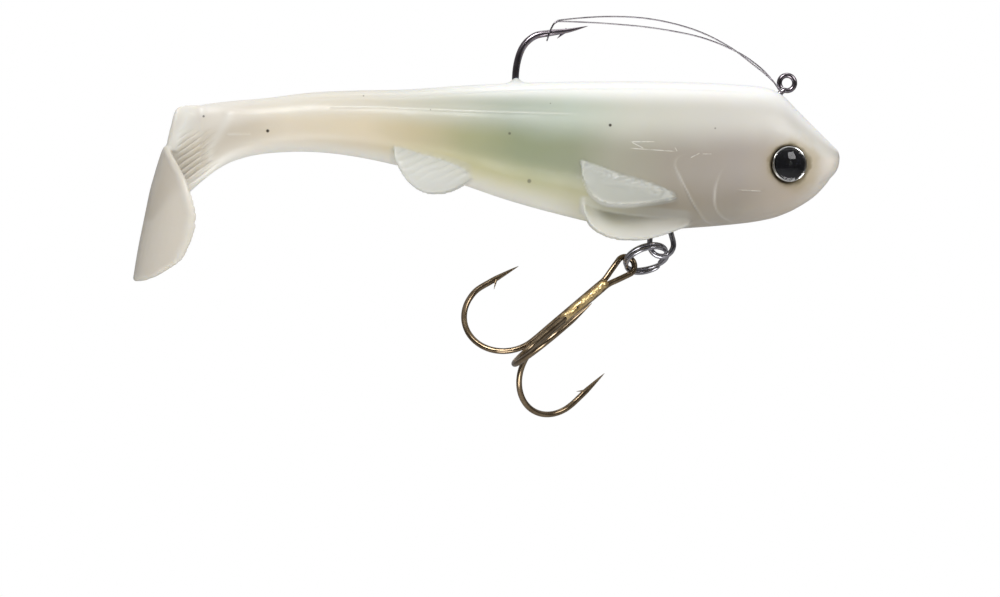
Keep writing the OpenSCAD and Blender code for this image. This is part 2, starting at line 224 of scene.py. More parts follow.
def revolve(profile, centre, axis, steps=64):
    """A turned piece: profile is a closed loop of (radius, height) along the axis."""
    axis = Vector(axis).normalized()
    u = axis.orthogonal().normalized()
    v = axis.cross(u)
    rings = []
    for k in range(steps):
        a = 2 * math.pi * k / steps
        out = math.cos(a) * u + math.sin(a) * v
        rings.append([tuple(Vector(centre) + r * out + h * axis) for r, h in profile])
    return loft(rings, closed=True)


def merge(*parts):
    """Several (vertices, faces) pairs as one."""
    verts, faces, base = [], [], 0
    for v, f in parts:
        verts.append(np.array(v, float))
        faces += [tuple(i + base for i in face) for face in f]
        base += len(v)
    return np.vstack(verts), faces


def make(name, geometry, material, body):
    """A new piece from vertices in millimetres."""
    verts, faces = geometry
    mesh = bpy.data.meshes.new(name)
    mesh.from_pydata([tuple(v) for v in np.array(verts) * MM], [], faces)
    mesh.validate()
    fix = bmesh.new()
    fix.from_mesh(mesh)
    bmesh.ops.recalc_face_normals(fix, faces=fix.faces)
    fix.to_mesh(mesh)
    fix.free()
    mesh.polygons.foreach_set("use_smooth", [True] * len(mesh.polygons))
    mesh.materials.append(material)
    piece = bpy.data.objects.new(name, mesh)
    bpy.context.scene.collection.objects.link(piece)
    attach(piece, body)
    return piece


# ---------------------------------------------------------------- material nodes
def srgb(red, green, blue):
    """A colour given as 0 to 255 values, as the linear colour that nodes take."""
    return tuple(((c / 255 + 0.055) / 1.055) ** 2.4 for c in (red, green, blue)) + (1,)


class Nodes:
    """A new material's node tree, with short calls for the nodes used here."""

    def __init__(self, name):
        self.material = bpy.data.materials.new(name)
        self.material.use_nodes = True
        self.tree = self.material.node_tree
        self.tree.nodes.clear()
        self.out = self.tree.nodes.new("ShaderNodeOutputMaterial")
        self.place = self.add("ShaderNodeTexCoord").outputs["Object"]
        axes = self.add("ShaderNodeSeparateXYZ", {"Vector": self.place}).outputs
        self.x, self.y, self.z = axes["X"], axes["Y"], axes["Z"]

    def add(self, kind, inputs=None, **settings):
        n = self.tree.nodes.new(kind)
        for key, value in settings.items():
            setattr(n, key, value)
        for key, value in (inputs or {}).items():
            if isinstance(value, bpy.types.NodeSocket):
                self.tree.links.new(value, n.inputs[key])
            else:
                n.inputs[key].default_value = value
        return n

    def math(self, operation, a, b=0.0):
        return self.add("ShaderNodeMath", {0: a, 1: b}, operation=operation).outputs[0]

    def span(self, value, low, high, to_low=0.0, to_high=1.0):
        """value from low to high, eased to the range given."""
        n = self.add("ShaderNodeMapRange", {"Value": value, "From Min": low, "From Max": high,
                     "To Min": to_low, "To Max": to_high}, interpolation_type="SMOOTHSTEP")
        return n.outputs[0]

    def mix(self, share, a, b):
        n = self.add("ShaderNodeMix", data_type="RGBA")
        for key, value in ((0, share), (6, a), (7, b)):
            if isinstance(value, bpy.types.NodeSocket):
                self.tree.links.new(value, n.inputs[key])
            else:
                n.inputs[key].default_value = value
        return n.outputs[2]

    def ramp(self, share, stops):
        n = self.add("ShaderNodeValToRGB", {"Fac": share})
        band = n.color_ramp
        while len(band.elements) < len(stops):
            band.elements.new(0.5)
        for element, (at, colour) in zip(band.elements, stops):
            element.position = at
            element.color = colour
        return n.outputs["Color"]

    def noise(self, scale, detail=3.0, roughness=0.5):
        """Noise over the piece; scale is in lumps to the metre."""
        return self.add("ShaderNodeTexNoise", {"Vector": self.place, "Scale": scale,
                        "Detail": detail, "Roughness": roughness}).outputs["Fac"]

    def bump(self, height, depth_mm, strength=1.0, under=None):
        inputs = {"Height": height, "Distance": depth_mm * MM, "Strength": strength}
        if under is not None:
            inputs["Normal"] = under
        return self.add("ShaderNodeBump", inputs).outputs["Normal"]

    def finish(self, **inputs):
        """The surface shader: inputs are Principled sockets, with _ for each space."""
        p = self.add("ShaderNodeBsdfPrincipled",
                     {key.replace("_", " "): value for key, value in inputs.items()})
        self.tree.links.new(p.outputs[0], self.out.inputs["Surface"])
        return self.material


# Colours along the body at three heights: the plastic's own cream and green tints, with painted
# light and shade in them, darker in the middle of the flank where it is shaded: (x, (red, green,
# blue)).
PLASTIC_AND_SHADE_HIGH = [
    (-125, (203, 200, 192)), (-112, (210, 203, 191)), (-100, (214, 208, 195)),
    (-84, (205, 199, 184)), (-68, (186, 186, 171)), (-55, (168, 175, 161)),
    (-43, (178, 186, 172)), (-32, (192, 192, 180)), (-12, (200, 197, 189)), (5, (210, 207, 200)),
]
PLASTIC_AND_SHADE_MID = [
    (-125, (192, 186, 173)), (-112, (194, 185, 170)), (-100, (213, 203, 184)),
    (-84, (213, 201, 176)), (-74, (196, 185, 154)), (-63, (166, 166, 131)),
    (-54, (147, 154, 124)), (-43, (148, 153, 128)), (-34, (164, 162, 146)),
    (-24, (161, 154, 142)), (-10, (169, 161, 153)), (0, (182, 172, 159)), (8, (232, 225, 214)),
]
PLASTIC_AND_SHADE_LOW = [
    (-125, (196, 190, 179)), (-100, (214, 206, 190)), (-84, (208, 197, 174)),
    (-68, (202, 196, 154)), (-50, (188, 186, 146)), (-36, (184, 180, 146)),
    (-25, (147, 138, 121)), (-10, (152, 143, 130)), (0, (186, 174, 159)), (8, (232, 226, 216)),
]
FIN_GREY = (180, 182, 176)
# Painted highlight: the pale tint along raised lips, moulding lines and fin edges.
RIM_HIGHLIGHT = (218, 217, 211)
PADDLE_GREY = (191, 183, 170)
# Painted light: white for the lit back and for the belly lit from below.
LIT_BACK_WHITE = (244, 244, 242)
LIT_BELLY_WHITE = (246, 244, 236)
SPECK_BROWN = (52, 44, 36)
SCRATCH_WHITE = (240, 238, 230)
# Dark specks moulded into the plastic: x, z, radius, strength.
SPECKS = [
    (-35.6, -8.8, 0.42, 1), (-14.8, -9.4, 0.26, 0.5), (-103.7, -9.7, 0.45, 1),
    (-116.6, -6.7, 0.32, 0.75), (-51.6, -19.8, 0.55, 0.55), (-55.5, -10.4, 0.36, 0.6),
    (-84.6, -2.7, 0.22, 0.5), (-71.2, -5.6, 0.2, 0.45), (-47.4, -4.4, 0.2, 0.4),
]
# Fine scratches on the flanks: x, z of the middle, half length, slope in degrees.
SCRATCHES = [
    (-29.2, -12.1, 2.6, 0), (-30.2, -12.8, 1.4, -27), (-27.2, -13.7, 4.8, -4),
    (-22.6, -13.6, 0.5, -60), (-18.8, -14.8, 1.1, 27), (-16.4, -14.5, 1, 0),
    (-7.8, -21.7, 2.5, -3),
]


def body_tone_and_shade(m):
    """The plastic's colour along the body and down it, from the three rows above, with painted
    light and shade in it.
    """
    low = m.add("ShaderNodeAttribute", attribute_name="depth").outputs["Fac"]
    first, last = -130 * MM, 12 * MM
    cloudy = m.noise(60, 2.0)
    along = m.math("ADD", m.x, m.math("MULTIPLY", m.math("SUBTRACT", cloudy, 0.5), 8 * MM))
    share = m.span(along, first, last)
    share.node.interpolation_type = "LINEAR"
    bands = []
    for stops in (PLASTIC_AND_SHADE_HIGH, PLASTIC_AND_SHADE_MID, PLASTIC_AND_SHADE_LOW):
        bands.append(m.ramp(share, [((x * MM - first) / (last - first), srgb(*c))
                                    for x, c in stops]))
    wavy = m.math("ADD", low, m.math("MULTIPLY", m.math("SUBTRACT", m.noise(90, 2.0), 0.5), 0.1))
    colour = m.mix(m.span(wavy, 0.26, 0.52), bands[0], bands[1])
    colour = m.mix(m.span(wavy, 0.6, 0.88), colour, bands[2])
    # Painted light: the back is painted white where light from above falls on it, except at the
    # tail, and the belly is painted white behind the fins, where light from below brightens it.
    back = m.math("MULTIPLY", m.span(low, 0.2, 0.0), m.span(m.x, -90 * MM, -50 * MM, 0.3, 1))
    colour = m.mix(back, colour, srgb(*LIT_BACK_WHITE))
    under = m.math("MULTIPLY", m.span(low, 0.78, 1.0), m.span(m.x, -34 * MM, -50 * MM, 0.15, 0.85))
    return m.mix(under, colour, srgb(*LIT_BELLY_WHITE))


def eye_stain(m, colour, flat):
    """A brown stain in the plastic round each eye: wide ahead of it, darkest behind it."""
    eye = (EYE.x * MM, 0, EYE.z * MM)
    reach = m.add("ShaderNodeVectorMath", {0: flat, 1: eye}, operation="DISTANCE").outputs["Value"]
    soaked = m.math("ADD", reach, m.math("MULTIPLY", m.math("SUBTRACT", m.noise(420, 5.0), 0.5),
                                         2.2 * MM))
    ahead = m.math("SUBTRACT", soaked, m.math("MULTIPLY", m.span(m.x, -2 * MM, 5 * MM), 1.6 * MM))
    colour = m.mix(m.span(ahead, 5.8 * MM, 3.3 * MM, 0, 0.48), colour, srgb(172, 156, 118))
    colour = m.mix(m.span(soaked, 4.7 * MM, 3.8 * MM, 0, 0.62), colour, srgb(116, 104, 74))
    tail_side = m.span(m.x, 3 * MM, -2 * MM, 0.3, 0.85)
    close = m.math("MULTIPLY", m.span(reach, 4.25 * MM, 3.75 * MM), tail_side)
    return m.mix(close, colour, srgb(74, 64, 46))


def scratch_marks(m, flat):
    """1 on the fine scratches, which are broken up by noise."""
    marks = None
    for x, z, half, slope in SCRATCHES:
        local = m.add("ShaderNodeMapping", {"Vector": flat, "Location": (x * MM, 0, z * MM),
                      "Rotation": (0, -math.radians(slope), 0)}, vector_type="TEXTURE").outputs[0]
        part = m.add("ShaderNodeSeparateXYZ", {"Vector": local}).outputs
        mark = m.math("MULTIPLY",
                      m.span(m.math("ABSOLUTE", part["X"]), half * MM, 0.7 * half * MM),
                      m.span(m.math("ABSOLUTE", part["Z"]), 0.13 * MM, 0.04 * MM))
        marks = mark if marks is None else m.math("MAXIMUM", marks, mark)
    return m.math("MULTIPLY", marks, m.span(m.noise(1100, 2.0), 0.3, 0.6, 0.25, 1))


def plastic(name):
    """Milky soft plastic. The attributes that tint it, the rim's painted highlight among them, are
    set with the skin's relief.
    """
    m = Nodes(name)
    colour = body_tone_and_shade(m)
    # The rim tint is a painted highlight along raised lips, lines and fin edges.
    for tint, share, tone in (("fin", 0.85, FIN_GREY), ("paddle", 0.8, PADDLE_GREY),
                              ("rim", 0.75, RIM_HIGHLIGHT)):
        here = m.add("ShaderNodeAttribute", attribute_name=tint).outputs["Fac"]
        colour = m.mix(m.math("MULTIPLY", here, share), colour, srgb(*tone))
    flat = m.add("ShaderNodeCombineXYZ", {"X": m.x, "Z": m.z}).outputs[0]
    colour = eye_stain(m, colour, flat)
    for x, z, radius, strength in SPECKS:
        spot = m.add("ShaderNodeVectorMath", {0: flat, 1: (x * MM, 0, z * MM)},
                     operation="DISTANCE").outputs["Value"]
        colour = m.mix(m.span(spot, radius * MM, 0.4 * radius * MM, 0, strength), colour,
                       srgb(*SPECK_BROWN))
    scratch = scratch_marks(m, flat)
    colour = m.mix(m.math("MULTIPLY", scratch, 0.55), colour, srgb(*SCRATCH_WHITE))
    height = m.bump(m.noise(260, 2.0), 0.06, 0.5)
    height = m.bump(m.noise(1500, 4.0, 0.6), 0.02, 0.4, height)
    height = m.bump(scratch, 0.08, 0.8, height)
    # Light scatters less by the cut, so that the two sides of it look the same.
    cut_gap = m.math("ABSOLUTE", m.math("SUBTRACT", m.x, SKIN_CUT_X * MM))
    return m.finish(
        Base_Color=colour, Roughness=m.span(m.noise(250, 3.0), 0.3, 0.7, 0.34, 0.46), IOR=1.45,
        Specular_IOR_Level=0.4, Coat_Weight=0.1, Coat_Roughness=0.12, Normal=height,
        Subsurface_Weight=m.span(cut_gap, 0.5 * MM, 5 * MM, 0, 0.6),
        Subsurface_Radius=(1.0, 0.85, 0.6), Subsurface_Scale=1.2 * MM)


def metal(name, dark, light, rough=(0.15, 0.19), pits=0.0012, lumps=500, clean=0.45):
    """A plated wire: two close tints in small patches, and fine pits."""
    m = Nodes(name)
    patches = m.noise(lumps, 3.0, 0.5)
    colour = m.ramp(patches, [(clean - 0.15, dark), (clean + 0.2, light)])
    fine = m.bump(m.noise(2500, 2.0, 0.5), pits, 0.3)
    return m.finish(Base_Color=colour, Metallic=1.0, Normal=fine,
                    Roughness=m.span(patches, 0.3, 0.7, *rough))


def eye_black():
    m = Nodes("eye_black")
    colour = m.ramp(m.noise(2600, 4.0, 0.7), [(0.5, srgb(8, 8, 14)), (0.75, srgb(30, 30, 40))])
    return m.finish(Base_Color=colour, Roughness=m.span(m.noise(1800), 0.3, 0.7, 0.06, 0.14),
                    Specular_IOR_Level=0.3, Normal=m.bump(m.noise(600, 2.0), 0.01, 0.3))


def eye_resin():
    m = Nodes("eye_resin")
    return m.finish(Base_Color=(1, 1, 1, 1), Roughness=m.span(m.noise(900), 0.3, 0.7, 0.0, 0.05),
                    Transmission_Weight=1.0, IOR=1.42, Normal=m.bump(m.noise(700, 2.0), 0.04, 0.5))


# ---------------------------------------------------------------- the soft moulding
def body_rings(steps, sides):
    rings = []
    turn = np.linspace(0, 2 * math.pi, sides, endpoint=False)
    full = 0.94        # below 1 fills out the section's shoulders
    for x, back, belly, share in spline(BODY, steps):
        wide = max(share, 0.01) * BODY_WIDTH / 2
        middle = back + WIDEST * (belly - back)
        across = np.sign(np.cos(turn)) * np.abs(np.cos(turn)) ** full
        s = np.sign(np.sin(turn)) * np.abs(np.sin(turn)) ** full
        z = np.where(s > 0, middle + s * (back - middle), middle + s * (middle - belly))
        rings.append(np.stack([np.full(sides, x), -wide * across, z], axis=1))
    return rings


def leaf(rows, flip, steps=8, sides=24):
    """A fin as a thin leaf: its section runs from the root edge to the free edge."""
    turn = np.linspace(0, 2 * math.pi, sides, endpoint=False)
    rings = []
    for x, y0, z0, y1, z1, thick in spline(rows, steps):
        c = (1 - np.cos(turn)) / 2
        y = y0 + c * (y1 - y0) + thick * np.sin(turn) / 2
        z = z0 + c * (z1 - z0)
        rings.append(np.stack([np.full(sides, x), flip * y, z], axis=1))
    return loft(rings)


def paddle_disc(steps=8, sides=48):
    turn = np.linspace(0, 2 * math.pi, sides, endpoint=False)
    rings = []
    for x, z, share, thick in spline(PADDLE, steps):
        v = np.cos(turn)
        y = share * PADDLE_WIDTH / 2 * v
        rings.append(np.stack([x + PADDLE_CUP * (v * share) ** 2 + thick * np.sin(turn) / 2, y,
                               np.full(sides, z)], axis=1))
    return loft(rings)


def twisted(points):
    """Turns what lies behind the tail fin's flex line to the paddle's own twist."""
    angle = math.radians(PADDLE_TWIST) * smoothstep(WAG_X + 1.5, WAG_X - 1.5, points[:, 0])
    x = points[:, 0] - WAG_X
    y = points[:, 1]
    out = points.copy()
    out[:, 0] = WAG_X + x * np.cos(angle) - y * np.sin(angle)
    out[:, 1] = x * np.sin(angle) + y * np.cos(angle)
    return out


def refine(mesh):
    """Halves the mesh's spacing on the tail fin, whose rays are fine."""
    fine = bmesh.new()
    fine.from_mesh(mesh)
    chosen = [e for e in fine.edges if all(RAY_X[0] < v.co.x < RAY_X[1]
                                           and RAY_Z[0] < v.co.z < RAY_Z[1] for v in e.verts)]
    bmesh.ops.subdivide_edges(fine, edges=chosen, cuts=1, use_grid_fill=True)
    fine.to_mesh(mesh)
    fine.free()


def remeshed(geometry, voxel):
    """One closed skin over several overlapping solids."""
    verts, faces = geometry
    mesh = bpy.data.meshes.new("raw")
    mesh.from_pydata([tuple(v) for v in verts], [], faces)
    raw = bpy.data.objects.new("raw", mesh)
    bpy.context.scene.collection.objects.link(raw)
    cover = raw.modifiers.new("remesh", "REMESH")
    cover.mode = "VOXEL"
    cover.voxel_size = voxel
    relax = raw.modifiers.new("relax", "SMOOTH")
    relax.factor = 0.5
    relax.iterations = 4
    done = bpy.data.meshes.new_from_object(
        raw.evaluated_get(bpy.context.evaluated_depsgraph_get()))
    bpy.data.objects.remove(raw)
    refine(done)
    points = np.empty(len(done.vertices) * 3)
    done.vertices.foreach_get("co", points)
    normals = np.empty(len(done.vertices) * 3)
    done.vertex_normals.foreach_get("vector", normals)
    quads = [tuple(p.vertices) for p in done.polygons]
    return points.reshape(-1, 3), normals.reshape(-1, 3), quads


def along_curve(points, curve):
    """Each point's distance to a curve in the side view, + in front of it, and its share."""
    flat = points[:, [0, 2]]
    best = np.full(len(flat), 1e9)
    side = np.ones(len(flat))
    share = np.zeros(len(flat))
    for k, (a, b) in enumerate(zip(curve[:-1], curve[1:])):
        d = b - a
        t = np.clip(((flat - a) @ d) / (d @ d), 0, 1)
        gap = flat - (a + t[:, None] * d)
        size = np.linalg.norm(gap, axis=1)
        near = size < best
        best[near] = size[near]
        side[near] = np.sign(d[0] * gap[near, 1] - d[1] * gap[near, 0])
        share[near] = (k + t[near]) / (len(curve) - 1)
    return best * side, share


# Edges of the gill covers in the side view, from top to bottom.
GILL_COVER = [(-17.6, -14.4), (-20, -14.3), (-22.1, -15.1), (-22.8, -16.6), (-22, -18.6),
              (-20.7, -21.2), (-18.8, -24.6), (-16.9, -27.1), (-15, -28.3), (-12.6, -28.6)]
CHEEK = [(-11.5, -16), (-13.3, -17.5), (-14.4, -19.8), (-14.8, -22.1), (-14.7, -24.7),
         (-13.5, -26.5), (-10.6, -28.2)]
MOUTH = [(10.6, -18.2), (8.4, -19.3), (6.2, -20.3)]
JAW = [(-10.6, -21.5), (-8, -21.6), (-5.2, -21.6)]
FLANK_LINE = [(-92, -4.9), (-81.4, -5), (-62, -5.9), (-41, -6.6)]
STEM_LINE = [(-112, -10.4), (-109.5, -10.4), (-107, -10.3)]
FIN_FOOT = [(-111.4, -5.5), (-112.2, -8), (-114, -11), (-115.4, -13.6), (-115, -16)]
REAR_BAND = [(-119.4, -5.6), (-120.4, -8.6), (-121.6, -11.4), (-122.4, -14)]
COLLAR_X = -54.2       # where the main hook leaves the back


def edge_gap(points, curve):
    return along_curve(points, spline(curve, 6))


def plate_edge(points, curve, height, fade):
    """A raised plate with a lip along the curve, sinking back to the skin in front of it."""
    gap, share = edge_gap(points, curve)
    ends = smoothstep(0.05, 0.6, share) * smoothstep(1, 0.95, share)
    step = smoothstep(-0.3, 0.12, gap)
    lip = 0.5 * np.exp(-((gap - 0.1) / 0.22) ** 2)
    return height * ends * (step * np.exp(-np.clip(gap, 0, None) / fade) + lip)


def line(points, curve, height, half):
    """A thin ridge along a curve, or a groove where the height is negative."""
    gap, share = edge_gap(points, curve)
    ends = smoothstep(0, 0.1, share) * smoothstep(1, 0.9, share)
    return height * ends * np.exp(-(gap / half) ** 2)


def body_at(x):
    """The back, the belly and the half width of the body at each x."""
    rows = spline(BODY, 8)
    order = np.argsort(rows[:, 0])
    return [np.interp(x, rows[order, 0], rows[order, k]) for k in (1, 2, 3)]


def proud(points):
    """How far each point stands out sideways from the body alone."""
    x, y, z = points.T
    back, belly, share = body_at(x)
    middle = back + WIDEST * (belly - back)
    reach = np.where(z > middle, back - middle, middle - belly)
    s = np.clip(np.abs(z - middle) / np.maximum(reach, 0.1), 0, 1)
    return np.abs(y) - share * BODY_WIDTH / 2 * np.sqrt(1 - s ** 2)


def on_fin(points, rows):
    """1 on a leaf fin, and the distances to its root line and to its free edge."""
    x, z = points[:, 0], points[:, 2]
    root = [(r[0], r[2]) for r in rows]
    edge = [(r[0], r[4]) for r in rows] + [(rows[-1][0], rows[-1][2])]
    x_rows = np.array([r[0] for r in rows])[::-1]
    top = np.interp(x, x_rows, np.array([r[2] for r in rows])[::-1])
    low = np.interp(x, x_rows, np.array([r[4] for r in rows])[::-1])
    mask = smoothstep(0.05, 0.4, proud(points))
    mask *= smoothstep(rows[0][0] + 0.8, rows[0][0] - 1.2, x)
    mask *= smoothstep(rows[-1][0] - 1.2, rows[-1][0] - 0.6, x)
    mask *= smoothstep(top + 1, top + 0.3, z) * smoothstep(low - 1, low - 0.5, z)
    return mask, np.abs(edge_gap(points, root)[0]), np.abs(edge_gap(points, edge)[0])


def lumps(points, where, scale):
    """Noise at the points where it is needed, and 0 elsewhere."""
    out = np.zeros(len(points))
    chosen = np.nonzero(where > 0.02)[0]
    out[chosen] = [noise.noise(Vector(points[i] * scale)) for i in chosen]
    return out


def grooves(place, spacing):
    """Narrow grooves at even spacing, with broad flats between them."""
    return (0.5 + 0.5 * np.cos(2 * math.pi * place / spacing)) ** 4


def fin_shape(points, flank):
    """Relief of the fins, and how much of the fin colour and of the painted rim highlight each
    point takes.
    """
    x, y, z = points.T
    out = np.zeros(len(points))
    fin = np.zeros(len(points))
    rim = np.zeros(len(points))
    for rows, tint, pale in ((PECTORAL, 1, 0.45), (PELVIC, 0.4, 2.6), (REAR_FIN, 1, 0.45)):
        mask, root, edge = on_fin(points, rows)
        fin = np.maximum(fin, tint * mask)
        ends = np.minimum((rows[0][0] - x) / 8, (x - rows[-1][0]) / 3)
        # Painted highlight along each fin's free edge.
        rim = np.maximum(rim, mask * np.exp(-(edge / (pale * np.clip(ends, 0.2, 1))) ** 2))
        out += 0.14 * mask * np.exp(-(edge / 0.4) ** 2)
        if rows is PECTORAL:
            ripple = mask * flank * np.exp(-(np.clip(root - 0.7, 0, None) / 1.1) ** 2)
            out += ripple * (0.1 + 0.5 * lumps(points, ripple, np.array((0.75, 0.5, 1.6))))
            # Painted highlight on the ripples of the pectoral fin.
            rim = np.maximum(rim, 0.15 * ripple)
            out += mask * line(points, [(-37, -20.4), (-31, -21), (-26.4, -20.9)], 0.14, 0.3)
        if rows is REAR_FIN:
            slant = z + 14 - 0.5 * (x + 70) + 0.4 * lumps(points, mask, 0.3)
            near = mask * flank * np.exp(-(np.clip(root - 0.6, 0, None) / 3.4) ** 2)
            out -= 0.2 * near * grooves(slant, 1.8) * smoothstep(0.3, 1.2, edge)
            rim = np.maximum(rim, 0.45 * mask)
    return out, fin, rim


def paddle_rim(points):
    """1 on the paddle, whose points lie near its middle surface, and 1 on its thicker rim."""
    x, y, z = points.T
    angle = math.radians(PADDLE_TWIST)
    along = (x - WAG_X) * math.cos(angle) + y * math.sin(angle) + WAG_X
    across = y * math.cos(angle) - (x - WAG_X) * math.sin(angle)
    heights = [r[1] for r in PADDLE][::-1]
    width = np.interp(z, heights, [r[2] for r in PADDLE][::-1]) * PADDLE_WIDTH / 2
    middle = np.interp(z, heights, [r[0] for r in PADDLE][::-1])
    middle += PADDLE_CUP * (across * 2 / PADDLE_WIDTH) ** 2
    disc = smoothstep(2, 1.3, np.abs(along - middle)) * smoothstep(-12.5, -15, z) * (x < SKIN_CUT_X)
    inset = np.minimum(width - np.abs(across), z - PADDLE[-1][1])
    return disc, disc * np.exp(-((inset - 0.5) / 0.6) ** 2)


def tail_rays(points, where):
    """Depth of the grooves between the rays of the tail fin."""
    x, y, z = points.T
    web = smoothstep(-112.8, -116.6, x) * smoothstep(-122.3, -120.6, x)
    web *= smoothstep(-8.8, -11.6, z) * smoothstep(-21.2, -18.4, z) * where
    slope = math.radians(RAY_SLOPE)
    slant = (z + 14) * math.cos(slope) - (x + 118) * math.sin(slope)
    slant += 0.15 * lumps(points, web, 0.4)
    return web * 0.22 * grooves(slant, 1.05)


def eye_pockets(points):
    """Depth of the pockets that take the two eyes."""
    out = np.zeros(len(points))
    for side in (1, -1):
        way = np.array(eye_out(side))
        from_eye = points - np.array((EYE.x, side * EYE.y, EYE.z))
        height = from_eye @ way
        radius = np.linalg.norm(from_eye - height[:, None] * way, axis=1)
        out += 1.3 * (np.abs(height) < 4) * smoothstep(EYE_R + 0.15, EYE_R - 0.2, radius)
    return out


def relief(points, normals):
    """How far each point stands out from the smooth shape, with its fin colour and painted rim
    highlight.
    """
    x, y, z = points.T
    flank = smoothstep(0.25, 0.6, np.abs(normals[:, 1]))
    out, fin, rim = fin_shape(points, flank)
    skin = flank * (1 - smoothstep(0.1, 0.5, fin))
    for curve, height, fade in ((GILL_COVER, 0.24, 2.6), (CHEEK, 0.17, 2.2)):
        out += plate_edge(points, curve, height, fade) * skin
        # Painted highlight on the lip of each plate.
        rim = np.maximum(rim, plate_edge(points, curve, 0.3, 0.1) * skin)
    out += line(points, MOUTH, -0.1, 0.3) * smoothstep(5, 7, x)
    out += line(points, JAW, 0.12, 0.25) * skin
    for curve in (FLANK_LINE, STEM_LINE):
        out += line(points, curve, 0.09, 0.2) * skin
        # Painted highlight along the moulding lines.
        rim = np.maximum(rim, 0.45 * skin * line(points, curve, 1, 0.2))
    # A shoulder runs along the back, beside the flattened top.
    shoulder = body_at(x)[0] - 1.4
    on_back = smoothstep(-100, -90, x) * smoothstep(-4, -12, x)
    out -= 0.16 * on_back * np.exp(-((z - shoulder) / 0.35) ** 2)
    disc, bead = paddle_rim(points)
    out += 0.14 * bead
    # Painted highlight on the paddle's bead.
    rim = np.maximum(rim, 0.5 * bead)
    # Rays of the tail fin, the crease it starts from and the thicker band at its rear.
    out -= tail_rays(points, flank * (1 - disc))
    for curve, height, half, pale, soft in ((FIN_FOOT, 0.1, 0.9, 0.5, 0.9),
                                            (REAR_BAND, 0.2, 0.8, 0.7, 1)):
        out += line(points, curve, height, half) * flank
        # Painted highlight along the crease and the rear band.
        rim = np.maximum(rim, pale * flank * line(points, curve, 1, soft))
    out -= eye_pockets(points)
    # The plastic climbs a little way up the hook's wire.
    reach = np.sqrt((x - COLLAR_X) ** 2 + y ** 2)
    out += 1.1 * (z > -3) * np.exp(-np.clip(reach - 0.5, 0, None) / 0.6)
    fin = np.maximum(fin, 0.8 * (z > -3) * np.exp(-(reach / 1.5) ** 2))
    return out, {"fin": fin, "rim": rim, "paddle": disc}


def soft_moulding(material):
    """The body, its fins and the paddle as one skin, parted at the cut into two pieces."""
    fins = [leaf(rows, side) for rows in (PECTORAL, PELVIC, REAR_FIN) for side in (1, -1)]
    verts, faces = merge(loft(body_rings(8, 96)), paddle_disc(), *fins)
    points, normals, quads = remeshed((twisted(verts), faces), SKIN_VOXEL)
    out, tints = relief(points, normals)
    back, belly, _ = body_at(points[:, 0])
    tints["depth"] = np.clip((back - points[:, 2]) / (back - belly), 0, 1)
    points = points + normals * out[:, None]
    whole = bpy.data.meshes.new("whole")
    whole.from_pydata([tuple(p) for p in points * MM], [], quads)
    whole.polygons.foreach_set("use_smooth", [True] * len(whole.polygons))
    for name, values in tints.items():
        whole.attributes.new(name, "FLOAT", "POINT").data.foreach_set("value", values)
    cut = bmesh.new()
    cut.from_mesh(whole)
    bmesh.ops.bisect_plane(cut, geom=list(cut.verts) + list(cut.edges) + list(cut.faces),
                           plane_co=(SKIN_CUT_X * MM, 0, 0), plane_no=(1, 0, 0))
    cut.to_mesh(whole)
    cut.free()
    pieces = [skin_part(whole, name, sign, material)
              for name, sign in (("soft_skin", 1), ("soft_tail", -1))]
    bpy.data.meshes.remove(whole)
    return pieces


def skin_part(whole, name, sign, material):
    """The skin ahead of the cut (1) or behind it (-1), with the whole skin's normals."""
    normals = {tuple(round(c, 8) for c in v.co): v.normal.copy() for v in whole.vertices}
    part = bmesh.new()
    part.from_mesh(whole)
    gone = [f for f in part.faces
            if sign * (f.calc_center_median().x - SKIN_CUT_X * MM) < 0]
    bmesh.ops.delete(part, geom=gone, context="FACES")
    mesh = bpy.data.meshes.new(name)
    part.to_mesh(mesh)
    part.free()
    mesh.normals_split_custom_set_from_vertices(
        [normals[tuple(round(c, 8) for c in v.co)] for v in mesh.vertices])
    mesh.materials.append(material)
    piece = bpy.data.objects.new(name, mesh)
    bpy.context.scene.collection.objects.link(piece)
    return piece


# ---------------------------------------------------------------- eyes
def eye_out(side):
    yaw, lift = math.radians(EYE_YAW), math.radians(EYE_LIFT)
    return Vector((math.sin(yaw), side * math.cos(yaw) * math.cos(lift),
                   math.cos(yaw) * math.sin(lift)))


def cap(radius, height, steps):
    """Profile of a dome from its rim to its middle."""
    ball = (radius ** 2 + height ** 2) / (2 * height)
    rim = math.asin(radius / ball)
    return [(max(ball * math.sin(rim * (1 - k / steps)), 0.002),
             ball * math.cos(rim * (1 - k / steps)) - ball + height) for k in range(steps + 1)]


def add_eye(side, label, foil, black, resin):
    out = eye_out(side)
    centre = Vector((EYE.x, side * EYE.y, EYE.z))
    cup = [(0.002, -1.2), (EYE_R - 0.1, -1.2), (EYE_R - 0.04, -1.1), (EYE_R - 0.04, 0.02),
           (EYE_R - 0.14, 0.14), (EYE_R - 0.3, 0.16), (EYE_R - 0.52, 0.04),
           (EYE_R - 0.6, -0.2), (0.002, -0.2)]
    pieces = [make("eye_cup_" + label, revolve(cup, centre, out), foil, "lure")]
    disc = [(0.002, -0.19)] + [(r, h - 0.12) for r, h in cap(EYE_R - 0.61, 0.12, 12)]
    pieces.append(make("eye_pupil_" + label, revolve(disc, centre, out), black,
                       "lure"))
    glass = [(r, h + 0.24) for r, h in cap(EYE_R - 0.12, 0.9, 20)]
    inner = [(r, h + 0.21) for r, h in cap(EYE_R - 0.4, 0.12, 6)]
    pieces.append(make("eye_lens_" + label, revolve(glass + inner[::-1], centre, out), resin,
                       "lure"))
    for piece, node in zip(pieces, ("eye_seat_", "pupil_", "eye_dome_")):
        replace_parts(piece, node + label)


